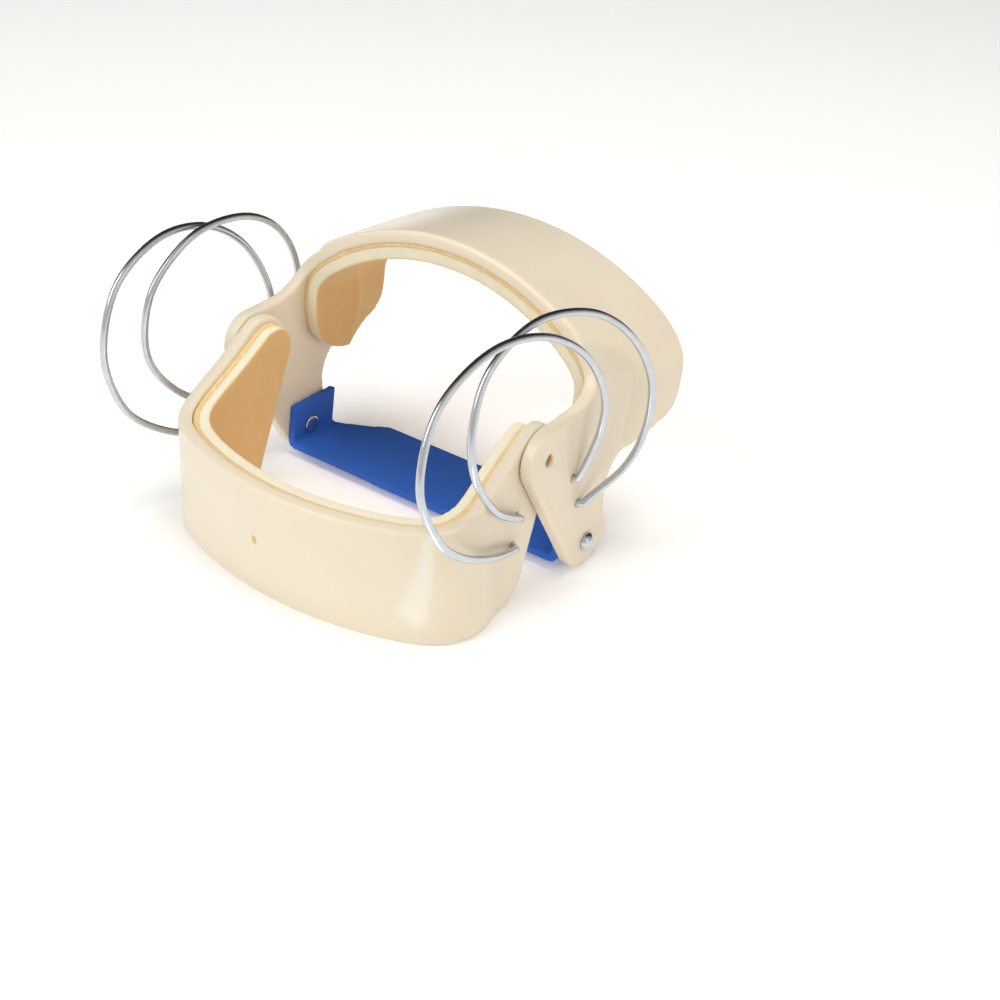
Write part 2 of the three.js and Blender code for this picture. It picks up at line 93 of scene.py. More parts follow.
# Wires: one row a wire, with the names of its holes and its loop from the leg round to the ear. Each
# point of a loop is how far it is outside the ear's face, then its Y and Z.
LEG_HOLES = {"upper": (7.1, 12.8), "lower": (8.6, 20.2)}
EAR_HOLES = {"upper": (11.7, -8.1), "lower": (15.5, -15.9)}
WIRES = [
    ("spring_wire_right_front", 1, "lower", "upper", [
        (-0.4, -18.8, -17.8), (0.2, -32.3, -12.1), (-0.6, -39.4, -6.3), (-2.9, -44.8, 5.4),
        (-4.3, -42.1, 18.3), (-4.3, -36.3, 25.5), (-2.6, -23.8, 32.1), (0.3, -9.9, 32.2),
        (3.3, 2.6, 25.8), (4.7, 11.1, 14.5), (4.0, 13.5, 5.4)]),
    ("spring_wire_right_back", 1, "upper", "lower", [
        (-1.6, -17.6, -7.3), (-2.5, -26.0, 3.3), (-3.8, -27.3, 12.1), (-4.8, -23.1, 24.7),
        (-3.5, -13.2, 33.0), (-1.6, -4.7, 35.3), (2.1, 8.3, 33.5), (5.9, 19.1, 26.0), (8.4, 25.8, 14.5),
        (8.1, 26.7, 1.4), (6.1, 23.9, -6.9)]),
    ("spring_wire_left_front", -1, "lower", "upper", [
        (1.2, -18.0, -21.5), (4.1, -30.0, -16.1), (5.2, -36.0, -9.8), (6.0, -40.6, 2.6),
        (6.1, -38.9, 15.6), (6.0, -34.2, 22.9), (5.3, -23.4, 29.4), (4.4, -10.4, 29.5), (3.5, 1.3, 23.5),
        (2.7, 9.5, 13.1), (2.1, 12.2, 4.7)]),
    ("spring_wire_left_back", -1, "upper", "lower", [
        (1.2, -17.2, -11.9), (3.9, -26.4, -3.5), (4.6, -29.2, 4.4), (4.2, -27.7, 16.9),
        (2.8, -19.8, 26.8), (1.9, -12.2, 30.5), (1.2, 0.6, 30.8), (1.6, 12.3, 25.4), (2.5, 20.5, 15.5),
        (3.0, 23.4, 3.1), (2.6, 22.1, -5.4)]),
]


# Settings

class BandSettings(bpy.types.PropertyGroup):
    colour: FloatVectorProperty(
        name="Plastic colour", description="Colour of the moulded plastic", subtype="COLOR",
        size=3, min=0, max=1, default=(0.84, 0.75, 0.60))
    wall: FloatProperty(
        name="Wall", description="Thickness of the plastic, mm", default=3.4, min=1, max=6)
    rim_width: FloatProperty(
        name="Width at the rim", description="Across the two ears, mm", default=92.8, min=60, max=120)
    flare: FloatProperty(
        name="Flare", description="How far each side widens to the far rim, mm", default=3.8,
        min=0, max=8)
    crown: FloatProperty(
        name="Crown", description="Height of the hand band over the hinge, mm", default=35,
        min=15, max=60)
    running_gap: FloatProperty(
        name="Running gap", description="Between an ear and the leg inside it, mm", default=0.25,
        min=0.05, max=2)
    detail: FloatProperty(
        name="Detail", description="Size of the mesh's faces, mm", default=0.44, min=0.3, max=2)
    rounding: IntProperty(
        name="Rounding", description="How far the edges are rounded", default=12, min=0, max=60)


class FoamSettings(bpy.types.PropertyGroup):
    # Painted shade: the lining's deep ochre stands for the shade on its inner faces. The paler colour of its
    # cut edges below is painted light on them.
    colour: FloatVectorProperty(
        name="Foam colour", description="Colour of the foam lining", subtype="COLOR",
        size=3, min=0, max=1, default=(0.85, 0.56, 0.26))
    lit_edge_colour: FloatVectorProperty(
        name="Cut edge colour", description="Colour of the foam's cut edges", subtype="COLOR",
        size=3, min=0, max=1, default=(0.90, 0.83, 0.64))
    # An ochre strip runs round each lining, in the gap between it and the plastic.
    ochre_line_colour: FloatVectorProperty(
        name="Glue colour", description="Colour of the glue between plastic and foam", subtype="COLOR",
        size=3, min=0, max=1, default=(0.86, 0.63, 0.30))
    thickness: FloatProperty(
        name="Foam", description="Thickness of the lining, mm", default=3.6, min=1, max=8)
    seat: FloatProperty(
        name="Seat", description="Between the plastic and its lining, mm", default=0.55, min=0, max=1)


class StrapSettings(bpy.types.PropertyGroup):
    colour: FloatVectorProperty(
        name="Strap colour", description="Colour of the palm strap", subtype="COLOR",
        size=3, min=0, max=1, default=(0.026, 0.13, 0.60))
    thickness: FloatProperty(
        name="Strap", description="Thickness of the palm strap, mm", default=1.8, min=0.5, max=4)


class WireSettings(bpy.types.PropertyGroup):
    colour: FloatVectorProperty(
        name="Steel colour", description="Colour of the wires and rivets", subtype="COLOR",
        size=3, min=0, max=1, default=(0.60, 0.635, 0.68))
    diameter: FloatProperty(
        name="Wire", description="Diameter of the spring wire, mm", default=1.8, min=0.5, max=4)
    turn: FloatProperty(
        name="Turn", description="Radius of the bend into each hole, mm", default=1.6, min=0.5, max=5)
    rivet_radius: FloatProperty(
        name="Rivet", description="Radius of a rivet's head, mm", default=2.4, min=1, max=5)


class StageSettings(bpy.types.PropertyGroup):
    lens: FloatProperty(
        name="Lens", description="Focal length on a 36 mm sensor, mm", default=57.43, min=20, max=200)
    key: FloatProperty(
        name="Key light", description="Power of the softbox, W", default=2.9, min=0, max=200)
    fill: FloatProperty(
        name="Top light", description="Power of the light overhead, W", default=6.1, min=0, max=200)
    side: FloatProperty(
        name="Side light", description="Power of the light on the right, W", default=0.6, min=0, max=200)
    sky: FloatProperty(
        name="Room", description="Brightness of the pale room", default=0.64, min=0, max=5)
    back: FloatProperty(
        name="Back of the room", description="Its share of the room's brightness", subtype="FACTOR",
        default=0.06, min=0, max=1)
    sheen: FloatProperty(
        name="Sheen", description="Power of the strip that the front wall mirrors, W", default=0.008, min=0,
        max=1)


class SplintSettings(bpy.types.PropertyGroup):
    bands: PointerProperty(type=BandSettings)
    foam: PointerProperty(type=FoamSettings)
    strap: PointerProperty(type=StrapSettings)
    wires: PointerProperty(type=WireSettings)
    stage: PointerProperty(type=StageSettings)


def settings():
    return bpy.context.scene.splint_settings


# Lines and outlines

def quadratic(a, b, c, count):
    """A curve from a to c that sets out and arrives in line with b."""
    t = np.linspace(0, 1, count)[:, None]
    a, b, c = np.array(a, float), np.array(b, float), np.array(c, float)
    return (1 - t) ** 2 * a + 2 * t * (1 - t) * b + t ** 2 * c


def arc(centre, radius, start, end, count):
    """Points of a circle between two angles."""
    angle = np.linspace(start, end, count)
    return np.stack([centre[0] + radius * np.cos(angle), centre[1] + radius * np.sin(angle)], 1)


def smoothstep(x, low, high):
    """0 below low, 1 above high and a smooth rise between."""
    t = np.clip((x - low) / (high - low), 0, 1)
    return t * t * (3 - 2 * t)


def resample(line, count):
    """The same line with evenly spaced points."""
    step = np.linalg.norm(np.diff(line, axis=0), axis=1)
    at = np.concatenate([[0], np.cumsum(step)])
    want = np.linspace(0, at[-1], count)
    return np.stack([np.interp(want, at, line[:, k]) for k in range(line.shape[1])], 1)


def soften(line, sigma):
    """Rounds the kinks of an evenly spaced line, whose ends run on straight."""
    spacing = np.linalg.norm(line[1] - line[0])
    reach = max(2, int(3 * sigma / spacing))
    kernel = np.exp(-0.5 * (np.arange(-reach, reach + 1) * spacing / sigma) ** 2)
    kernel /= kernel.sum()
    before = line[0] + (line[0] - line[1]) * np.arange(reach, 0, -1)[:, None]
    after = line[-1] + (line[-1] - line[-2]) * np.arange(1, reach + 1)[:, None]
    padded = np.concatenate([before, line, after])
    return np.stack([np.convolve(padded[:, k], kernel, "valid") for k in range(line.shape[1])], 1)


def directions(line):
    along = np.gradient(line, axis=0)
    return along / np.linalg.norm(along, axis=1)[:, None]


def inset(line, distance):
    """The same line moved to its left."""
    along = directions(line)
    return line + distance * np.stack([-along[:, 1], along[:, 0]], 1)


def full_circle(centre, radius, count):
    return arc(centre, radius, 0, 2 * math.pi, count + 1)[:-1]


def band_line(leg_x, foot, bend, shoulder_x, shoulder, round_along, round_across, front, sigma=1.2):
    """A U-shaped wall in its own plane, from the foot of the right leg over to the left one's. The front
    is one arc, whose turn is found in steps so that it leaves the shoulders' rounds without a kink."""
    rise = front - shoulder
    arc_x = shoulder_x - round_across
    tangent = rise / (shoulder_x + round_across)
    for _ in range(8):
        tangent = (rise - rise * tangent ** 2 + arc_x * tangent ** 3) / (shoulder_x + round_across)
    turn = 2 * math.atan(tangent)
    radius = arc_x / math.sin(turn)
    top = arc((0, front - radius), radius, math.pi / 2 - turn, math.pi / 2, 60)
    bend_point = np.array([leg_x, bend], float)
    corner = np.array([shoulder_x, shoulder], float)
    start = corner + (bend_point - corner) * round_along / (shoulder - bend)
    half = np.concatenate([[[leg_x, foot], [leg_x, bend]], quadratic(start, corner, top[0], 24), top[1:]])
    whole = np.concatenate([half, (half * [-1, 1])[::-1][1:]])
    return soften(resample(whole, 361), sigma)


def grow(outline, distance):
    """The same closed outline moved outwards, to make up for what rounding its edges takes."""
    along = np.roll(outline, -1, 0) - np.roll(outline, 1, 0)
    along /= np.linalg.norm(along, axis=1)[:, None]
    x, y = outline.T
    turn = np.sign((x * np.roll(y, -1) - np.roll(x, -1) * y).sum())
    return outline + distance * turn * np.stack([along[:, 1], -along[:, 0]], 1)


# Solids

# Farther out than any piece reaches
BEYOND = 80


def vertices(mesh):
    co = np.zeros(len(mesh.vertices) * 3, np.float32)
    mesh.vertices.foreach_get("co", co)
    return co.reshape(-1, 3).astype(float)


def set_vertices(mesh, co):
    mesh.vertices.foreach_set("co", co.astype(np.float32).ravel())
    mesh.update()


def vertex_normals(mesh):
    value = np.zeros(len(mesh.vertices) * 3, np.float32)
    mesh.vertex_normals.foreach_get("vector", value)
    return value.reshape(-1, 3).astype(float)


def volume(mesh):
    """The volume inside a closed mesh, which is negative when its faces point inwards."""
    mesh.calc_loop_triangles()
    co = vertices(mesh)
    tri = np.zeros(len(mesh.loop_triangles) * 3, np.int64)
    mesh.loop_triangles.foreach_get("vertices", tri)
    a, b, c = co[tri.reshape(-1, 3)].transpose(1, 0, 2)
    return np.einsum("ij,ij->i", a, np.cross(b, c)).sum() / 6


def outward(made):
    """Turns a closed mesh's faces outwards."""
    if volume(made.data) < 0:
        made.data.flip_normals()


def make_object(name, points, faces):
    mesh = bpy.data.meshes.new(name)
    mesh.from_pydata([tuple(p) for p in points], [], faces)
    mesh.update()
    made = bpy.data.objects.new(name, mesh)
    bpy.context.scene.collection.objects.link(made)
    outward(made)
    return made


def loft(name, rings, wall=False):
    """A closed solid through rings of points. The rings of a wall are its outer line and then its inner
    line backwards, so its ends are strips."""
    count = len(rings[0])
    last = (len(rings) - 1) * count
    faces = []
    for base in range(0, last, count):
        for i in range(count):
            a, b = base + i, base + (i + 1) % count
            faces.append((a, b, b + count, a + count))
    if wall:
        for i in range(count // 2 - 1):
            j = count - 1 - i
            faces.append((i + 1, i, j, j - 1))
            faces.append((last + i, last + i + 1, last + j - 1, last + j))
    else:
        faces.append(tuple(range(count))[::-1])
        faces.append(tuple(range(last, last + count)))
    return make_object(name, np.concatenate(rings), faces)


def across(name, outline, low, high):
    """A solid with an outline in Y and Z, from one X to another."""
    outline = np.array(outline)
    return loft(name, [np.column_stack([np.full(len(outline), x), outline]) for x in (low, high)])


def round_bar(name, centre, radius, low, high):
    """A round bar across X."""
    return across(name, full_circle(centre, radius, 32), low, high)


def turned(name, profile, centre, side):
    """A solid turned about an X axis from rows of (X, radius)."""
    return loft(name, [
        np.column_stack([np.full(40, side * x), full_circle(centre, radius, 40)]) for x, radius in profile])


def bake(made):
    """Applies an object's modifiers."""
    depsgraph = bpy.context.evaluated_depsgraph_get()
    mesh = bpy.data.meshes.new_from_object(made.evaluated_get(depsgraph))
    made.modifiers.clear()
    old = made.data
    made.data = mesh
    bpy.data.meshes.remove(old)


def cut(made, other, operation):
    """Cuts one solid with another, which is used up."""
    before = volume(made.data)
    modifier = made.modifiers.new("cut", "BOOLEAN")
    modifier.solver = "MANIFOLD"
    modifier.operation = operation
    modifier.object = other
    bake(made)
    if not 0 < volume(made.data) < before:
        raise RuntimeError(f"{made.name}: the cut with {other.name} went wrong")
    used = other.data
    bpy.data.objects.remove(other)
    bpy.data.meshes.remove(used)


def trim(made, outline, operation="INTERSECT"):
    """Trims a shell to an outline in Y and Z, or cuts what is inside it away."""
    cut(made, across("outline", outline, -BEYOND, BEYOND), operation)


def round_edges(made, size, steps):
    """Meshes a solid again with faces of one size, and rounds its edges."""
    remesh = made.modifiers.new("remesh", "REMESH")
    remesh.mode = "VOXEL"
    remesh.voxel_size = size
    if steps:
        smooth = made.modifiers.new("smooth", "SMOOTH")
        smooth.factor = 0.5
        smooth.iterations = steps
    bake(made)


def finish_piece(made, material, body):
    """Puts a piece into the model's frame, on its body, with its material."""
    made.data.transform(WORN)
    made.data.materials.clear()
    made.data.materials.append(material)
    made.data.polygons.foreach_set("use_smooth", [True] * len(made.data.polygons))
    made.data.update()
    if body:
        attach(made, body)


# Materials

def shader_group(name, inputs, outputs):
    group = bpy.data.node_groups.new(name, "ShaderNodeTree")
    for label, kind, default in inputs:
        group.interface.new_socket(label, in_out="INPUT", socket_type=kind).default_value = default
    for label, kind in outputs:
        group.interface.new_socket(label, in_out="OUTPUT", socket_type=kind)
    return group, group.nodes.new("NodeGroupInput"), group.nodes.new("NodeGroupOutput")


def surface_noise():
    """A group that gives a colour varied a little, a roughness varied a little, and a fine bump."""
    found = bpy.data.node_groups.get("surface_noise")
    if found:
        return found
    group, entry, leave = shader_group(
        "surface_noise",
        [("Colour", "NodeSocketColor", (0.8, 0.8, 0.8, 1)), ("Cloud scale", "NodeSocketFloat", 90.0),
         ("Cloud amount", "NodeSocketFloat", 0.05), ("Grain scale", "NodeSocketFloat", 2500.0),
         ("Grain height", "NodeSocketFloat", 0.00002), ("Roughness", "NodeSocketFloat", 0.3),
         ("Roughness change", "NodeSocketFloat", 0.08)],
        [("Colour", "NodeSocketColor"), ("Roughness", "NodeSocketFloat"), ("Normal", "NodeSocketVector")])
    nodes, links = group.nodes, group.links
    place = nodes.new("ShaderNodeTexCoord")
    cloud = nodes.new("ShaderNodeTexNoise")
    cloud.inputs["Detail"].default_value = 4
    grain = nodes.new("ShaderNodeTexNoise")
    grain.inputs["Detail"].default_value = 3
    links.new(place.outputs["Object"], cloud.inputs["Vector"])
    links.new(place.outputs["Object"], grain.inputs["Vector"])
    links.new(entry.outputs["Cloud scale"], cloud.inputs["Scale"])
    links.new(entry.outputs["Grain scale"], grain.inputs["Scale"])
    centred = nodes.new("ShaderNodeMath")
    centred.operation = "SUBTRACT"
    centred.inputs[1].default_value = 0.5
    links.new(cloud.outputs["Fac"], centred.inputs[0])
    amount = nodes.new("ShaderNodeMath")
    amount.operation = "MULTIPLY_ADD"
    amount.inputs[2].default_value = 1
    links.new(centred.outputs[0], amount.inputs[0])
    links.new(entry.outputs["Cloud amount"], amount.inputs[1])
    tint = nodes.new("ShaderNodeVectorMath")
    tint.operation = "SCALE"
    links.new(entry.outputs["Colour"], tint.inputs[0])
    links.new(amount.outputs[0], tint.inputs["Scale"])
    links.new(tint.outputs[0], leave.inputs["Colour"])
    rough = nodes.new("ShaderNodeMath")
    rough.operation = "MULTIPLY_ADD"
    links.new(centred.outputs[0], rough.inputs[0])
    links.new(entry.outputs["Roughness change"], rough.inputs[1])
    links.new(entry.outputs["Roughness"], rough.inputs[2])
    links.new(rough.outputs[0], leave.inputs["Roughness"])
    bump = nodes.new("ShaderNodeBump")
    bump.inputs["Strength"].default_value = 1
    links.new(entry.outputs["Grain height"], bump.inputs["Distance"])
    links.new(grain.outputs["Fac"], bump.inputs["Height"])
    links.new(bump.outputs["Normal"], leave.inputs["Normal"])
    return group


def material(name, colour, noise, uniform):
    """A Principled material whose colour, roughness and bump come from the shared group. What is the same
    all over is set on the shader's own sockets."""
    made = bpy.data.materials.get(name)
    if made:
        return made
    made = bpy.data.materials.new(name)
    made.use_nodes = True
    made.diffuse_color = (*colour, 1)
    tree = made.node_tree
    shader = tree.nodes["Principled BSDF"]
    group = tree.nodes.new("ShaderNodeGroup")
    group.node_tree = surface_noise()
    group.inputs["Colour"].default_value = (*colour, 1)
    for label, value in noise.items():
        group.inputs[label].default_value = value
    tree.links.new(group.outputs["Colour"], shader.inputs["Base Color"])
    tree.links.new(group.outputs["Roughness"], shader.inputs["Roughness"])
    tree.links.new(group.outputs["Normal"], shader.inputs["Normal"])
    for label, value in uniform.items():
        shader.inputs[label].default_value = value
    return made


def plastic():
    return material(
        "moulded_plastic", settings().bands.colour,
        {"Cloud scale": 60, "Cloud amount": 0.05, "Grain scale": 900, "Grain height": 0.000004,
         "Roughness": 0.2, "Roughness change": 0.12},
        {"Subsurface Weight": 0.35, "Subsurface Radius": (1.0, 0.55, 0.25), "Subsurface Scale": 0.003,
         "IOR": 1.49})


def foam():
    """Foam that is paler on its cut edges, as painted light, and a deep ochre on its other faces, as painted
    shade.
    """
    pad = settings().foam
    ready = "closed_cell_foam" in bpy.data.materials
    made = material(
        "closed_cell_foam", pad.colour,
        {"Cloud scale": 300, "Cloud amount": 0.12, "Grain scale": 3500, "Grain height": 0.00014,
         "Roughness": 0.85, "Roughness change": 0.1},
        {"Subsurface Weight": 0.25, "Subsurface Radius": (1.0, 0.7, 0.35), "Subsurface Scale": 0.0025,
         "Specular IOR Level": 0.25})
    if ready:
        return made
    nodes, links = made.node_tree.nodes, made.node_tree.links
    # Painted light and shade: faces on the cut edges take the pale colour, and the other faces the deep
    # ochre.
    edge = nodes.new("ShaderNodeAttribute")
    edge.attribute_name = "lit_edge_share"
    lit_and_shaded_tone = nodes.new("ShaderNodeMix")
    lit_and_shaded_tone.data_type = "RGBA"
    lit_and_shaded_tone.inputs["A"].default_value = (*pad.colour, 1)
    lit_and_shaded_tone.inputs["B"].default_value = (*pad.lit_edge_colour, 1)
    links.new(edge.outputs["Fac"], lit_and_shaded_tone.inputs["Factor"])
    group = next(node for node in nodes if node.type == "GROUP")
    links.new(lit_and_shaded_tone.outputs["Result"], group.inputs["Colour"])
    return made


# The ochre strip round each foam lining.
def ochre_line():
    return material(
        "ochre_foam_line", settings().foam.ochre_line_colour,
        {"Cloud scale": 500, "Cloud amount": 0.35, "Grain scale": 2500, "Grain height": 0.0001,
         "Roughness": 0.55, "Roughness change": 0.2},
        {})


# Painted shade: orange-brown for the band's cream peg, standing for the shade deep in the ear's hole.
def peg_painted_shade():
    return material(
        "peg_painted_shade", (0.62, 0.30, 0.08),
        {"Cloud scale": 900, "Cloud amount": 0.5, "Grain scale": 3000, "Grain height": 0.00005,
         "Roughness": 0.45, "Roughness change": 0.1},
        {})


def steel():
    return material(
        "polished_steel", settings().wires.colour,
        {"Cloud scale": 500, "Cloud amount": 0.25, "Grain scale": 4000, "Grain height": 0.000008,
         "Roughness": 0.2, "Roughness change": 0.12},
        {"Metallic": 1})


def strap_cloth():
    return material(
        "strap_cloth", settings().strap.colour,
        {"Cloud scale": 200, "Cloud amount": 0.15, "Grain scale": 2200, "Grain height": 0.00015,
         "Roughness": 0.8, "Roughness change": 0.1},
        {})


def amber():
    return material(
        "amber_mark", (0.82, 0.52, 0.17),
        {"Cloud scale": 800, "Cloud amount": 0.3, "Grain scale": 3000, "Grain height": 0.00004,
         "Roughness": 0.4, "Roughness change": 0.1},
        {})


# Hand band, seen from the side in Y and Z

EAR_END_RADIUS = 7.6
EAR_TOP = 9.6
EAR_TIP = (22.1, -26.6)
EAR_TIP_RADIUS = 8.5
EAR_FLAT_END = 30.9
EAR_BACK = ((29, -22), (25.5, -10.6), (35, -7.1))
EAR_SLOT_RADIUS = 1.0
SLOT_DEPTH = 1.2
HAND_START = -34
HAND_NEAR = 17.7
HAND_FAR = 51.4
HAND_SHOULDER = 17.8
HAND_TOP = 60
NEAR_RIM_FOOT = 18.4
NEAR_RIM_TURN = 11
PEG_RADIUS = 1.5
RUNNING_FIT = 0.05
RIVET = (22.1, -28.5)
RIVET_HOLE_RADIUS = 1.3

# How far past its rim a shell runs before it is trimmed, and how much of the flare it may gain by then
REACH = 25.0
FLARE_LIMIT = 1.6

# Where each ear's flat face ends: a crease from the rim's shoulder down, and the side wall's swing behind it
CREASE = [(15.3, 22.5), (24.4, 18.5), (31.2, 14.2), (35.4, 6.2), (34.8, 0.5), (33.7, -5.1)]
CREASE_DEPTH = 0.4
CREASE_WIDTH = 1.8
SWING_SHARE = 1.08
SWING_REACH = 7
SIDE_FROM_X = (26, 40)
SIDE_UP_TO_Z = (22, 32)


def ear_x():
    return settings().bands.rim_width / 2


def leg_x():
    return ear_x() - settings().bands.wall - settings().bands.running_gap


def widening(y):
    """How much farther out than the ear a straight side wall is."""
    share = (y - EAR_FLAT_END) / (HAND_FAR - EAR_FLAT_END)
    return settings().bands.flare * np.clip(share, 0, FLARE_LIMIT)


def hand_line(y):
    half = ear_x() + widening(y)
    return band_line(
        half, foot=-65, bend=0, shoulder_x=half, shoulder=HAND_SHOULDER, round_along=8, round_across=13,
        front=settings().bands.crown)


def hand_shell(name, outer, inner):
    """The hand band's shell before it is trimmed, between two depths behind its outer face."""
    rings = []
    for y in (HAND_START, EAR_FLAT_END, HAND_FAR, HAND_FAR + REACH):
        line = hand_line(y)
        flat = np.concatenate([inset(line, outer), inset(line, inner)[::-1]])
        rings.append(np.column_stack([flat[:, 0], np.full(len(flat), float(y)), flat[:, 1]]))
    return loft(name, rings, wall=True)


def set_in_ears(made):
    """Each ear's flat face ends in a shallow valley, which runs up to the rim's shoulder, and behind it the
    side wall swings outwards."""
    co = vertices(made.data)
    x, y, z = co.T
    line = centripetal([(0, *place) for place in CREASE], 1.0)[:, 1:]
    along = directions(line)
    nearest = ((co[:, None, 1:] - line) ** 2).sum(2).argmin(1)
    offset = co[:, 1:] - line[nearest]
    beyond = along[nearest, 0] * offset[:, 1] - along[nearest, 1] * offset[:, 0]
    distance = np.linalg.norm(offset, axis=1)
    swing = SWING_SHARE * settings().bands.flare * (1 - np.exp(-np.maximum(0, beyond) / SWING_REACH))
    valley = CREASE_DEPTH * np.exp(-(distance / CREASE_WIDTH) ** 2)
    side = smoothstep(np.abs(x), *SIDE_FROM_X) * (1 - smoothstep(z, *SIDE_UP_TO_Z))
    co[:, 0] += np.sign(x) * side * (swing - valley - widening(y))
    set_vertices(made.data, co)


def far_corner(far, lift):
    """Where a side wall's lower edge turns up into the far rim."""
    return quadratic((far - 7, lift - 2.5), (far, lift - 0.9), (far, lift + 7), 14)


def hand_outline():
    tip = np.array(EAR_TIP)
    taper = math.asin((EAR_END_RADIUS - EAR_TIP_RADIUS) / np.linalg.norm(tip))
    front_edge = math.atan2(tip[1], tip[0]) - taper + 1.5 * math.pi
    rim_foot = (HAND_NEAR, NEAR_RIM_FOOT)
    on_ear = (HAND_NEAR - NEAR_RIM_TURN, (EAR_TOP + EAR_END_RADIUS) / 2)
    return np.concatenate([
        [[HAND_FAR, HAND_TOP], [HAND_NEAR, HAND_TOP]],
        quadratic(rim_foot, (HAND_NEAR, EAR_TOP), on_ear, 16),
        arc((0, 0), EAR_END_RADIUS, math.pi / 2, front_edge, 40),
        arc(EAR_TIP, EAR_TIP_RADIUS, front_edge, 2 * math.pi, 30),
        quadratic(*EAR_BACK, 20),
        far_corner(HAND_FAR, 0),
    ])


def build_hand_band():
    bands = settings().bands
    made = hand_shell("hand_band_plastic", 0, bands.wall)
    trim(made, hand_outline())
    for side in (1, -1):
        inside, outside = side * (ear_x() - 2 * bands.wall), side * (ear_x() + 2 * bands.wall)
        cut(made, round_bar("hole", (0, 0), PEG_RADIUS + RUNNING_FIT, inside, outside), "DIFFERENCE")
        cut(made, round_bar("hole", RIVET, RIVET_HOLE_RADIUS, inside, outside), "DIFFERENCE")
        for place in EAR_HOLES.values():
            bottom = side * (ear_x() - SLOT_DEPTH)
            cut(made, round_bar("slot", place, EAR_SLOT_RADIUS, bottom, outside), "DIFFERENCE")
    round_edges(made, bands.detail, bands.rounding)
    set_in_ears(made)
    finish_piece(made, plastic(), HAND_BODY)
    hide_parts("hand_band")


# The foam and the ochre strip round it

FOAM_INSET = 0.4
FOAM_LOW = -8.3
FOAM_NEAR_TURN = 8.4
FOAM_LOW_START = 35
FOAM_FAR_DROP = 1.2
LINING_SEAM = 0.3
OCHRE_LINE_OVERLAP = 0.1
OCHRE_LINE_DETAIL = 0.32


def foam_face():
    """How deep behind the plastic's outer face a lining's inner face lies."""
    return settings().bands.wall + LINING_SEAM + settings().foam.thickness


def mark_lit_edges(made, rim_axis, beside_hinge):
    """Records how far each point of a lining is on a cut edge. The foam's material paints those edges paler,
    as painted light, against the deep ochre of painted shade on the other faces. Cut edges face along the
    rim's axis, and beside the hinge along Y or Z."""
    facing = np.abs(vertex_normals(made.data))
    either = np.maximum(facing[:, 1], facing[:, 2])
    share = smoothstep(np.where(beside_hinge, either, facing[:, rim_axis]), 0.5, 0.85)
    attribute = made.data.attributes.new("lit_edge_share", "FLOAT", "POINT")
    attribute.data.foreach_set("value", share.astype(np.float32))


def hand_foam_outline(rim_inset):
    near, far = HAND_NEAR + rim_inset, HAND_FAR - rim_inset
    lift = rim_inset - FOAM_INSET
    low = lift + FOAM_LOW
    return np.concatenate([
        [[far, HAND_TOP], [near, HAND_TOP]],
        quadratic((near, FOAM_NEAR_TURN), (near, low), (FOAM_LOW_START, low), 20),
        far_corner(far, lift - FOAM_FAR_DROP),
    ])


def build_hand_foam():
    bands = settings().bands
    made = hand_shell("hand_foam", bands.wall + settings().foam.seat, foam_face())
    trim(made, hand_foam_outline(FOAM_INSET))
    round_edges(made, bands.detail, 5)
    mark_lit_edges(made, rim_axis=1, beside_hinge=vertices(made.data)[:, 2] < 8)
    set_in_ears(made)
    finish_piece(made, foam(), HAND_BODY)
    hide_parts("hand_lining")


def build_hand_ochre_line():
    """The ochre strip round the hand band's foam, in the gap between it and the plastic."""
    wall = settings().bands.wall
    made = hand_shell("hand_ochre_line", wall - OCHRE_LINE_OVERLAP, wall + 0.8)
    trim(made, hand_foam_outline(rim_inset=0.35))
    trim(made, hand_foam_outline(rim_inset=2.0), "DIFFERENCE")
    round_edges(made, OCHRE_LINE_DETAIL, 2)
    set_in_ears(made)
    finish_piece(made, ochre_line(), HAND_BODY)


# Finger band, drawn forwards from the hinge and down its wall

LEAN = math.radians(9.2)
FINGER_TURN = Matrix.Rotation(math.pi + LEAN, 4, "X")
FINGER_RIM = 6.0
FINGER_FOOT = 35.0
FINGER_FRONT = 42.6
FINGER_BEND = 13.6
FINGER_SHOULDER = 30.9
FINGER_SHOULDER_X = 45.1
FINGER_SPREAD = 2.2
FINGER_SHELL_DEPTHS = (-30, FINGER_RIM, 18, 28, FINGER_FOOT + 1)
RIM_TURN_REACH = 24.0
CORNER_ROUND = 7
LEG_END_RADIUS = 7.0
LEG_BACK_FOOT = (5.1, 31.4)
LEG_SLOT_RADIUS = 1.1
EDGE_GROWTH = 0.4
LINING_SIGMA = 3.0


def finger_line(depth, sigma=1.2):
    share = max(0.0, (depth - FINGER_RIM) / (FINGER_FOOT - FINGER_RIM))
    return band_line(
        leg_x(), foot=-30, bend=FINGER_BEND, shoulder_x=FINGER_SHOULDER_X + FINGER_SPREAD * share,
        shoulder=FINGER_SHOULDER, round_along=14, round_across=15, front=FINGER_FRONT, sigma=sigma)


def finger_shell(name, outer, inner, sigma=1.2):
    """The finger band's shell before it is trimmed, between two depths behind its outer face."""
    rings = []
    for depth in FINGER_SHELL_DEPTHS:
        line = finger_line(depth)
        behind = soften(line, sigma)
        flat = np.concatenate([inset(behind, outer), inset(behind, inner)[::-1]])
        rings.append(np.column_stack([flat, np.full(len(flat), float(depth))]))
    return loft(name, rings, wall=True)


def tangent_touch(point, radius, turn):
    """The angle and the point at which a line from a point touches a circle about the hinge."""
    angle = math.atan2(point[1], point[0]) + turn * math.acos(radius / np.linalg.norm(point))
    return angle, radius * np.array([math.cos(angle), math.sin(angle)])


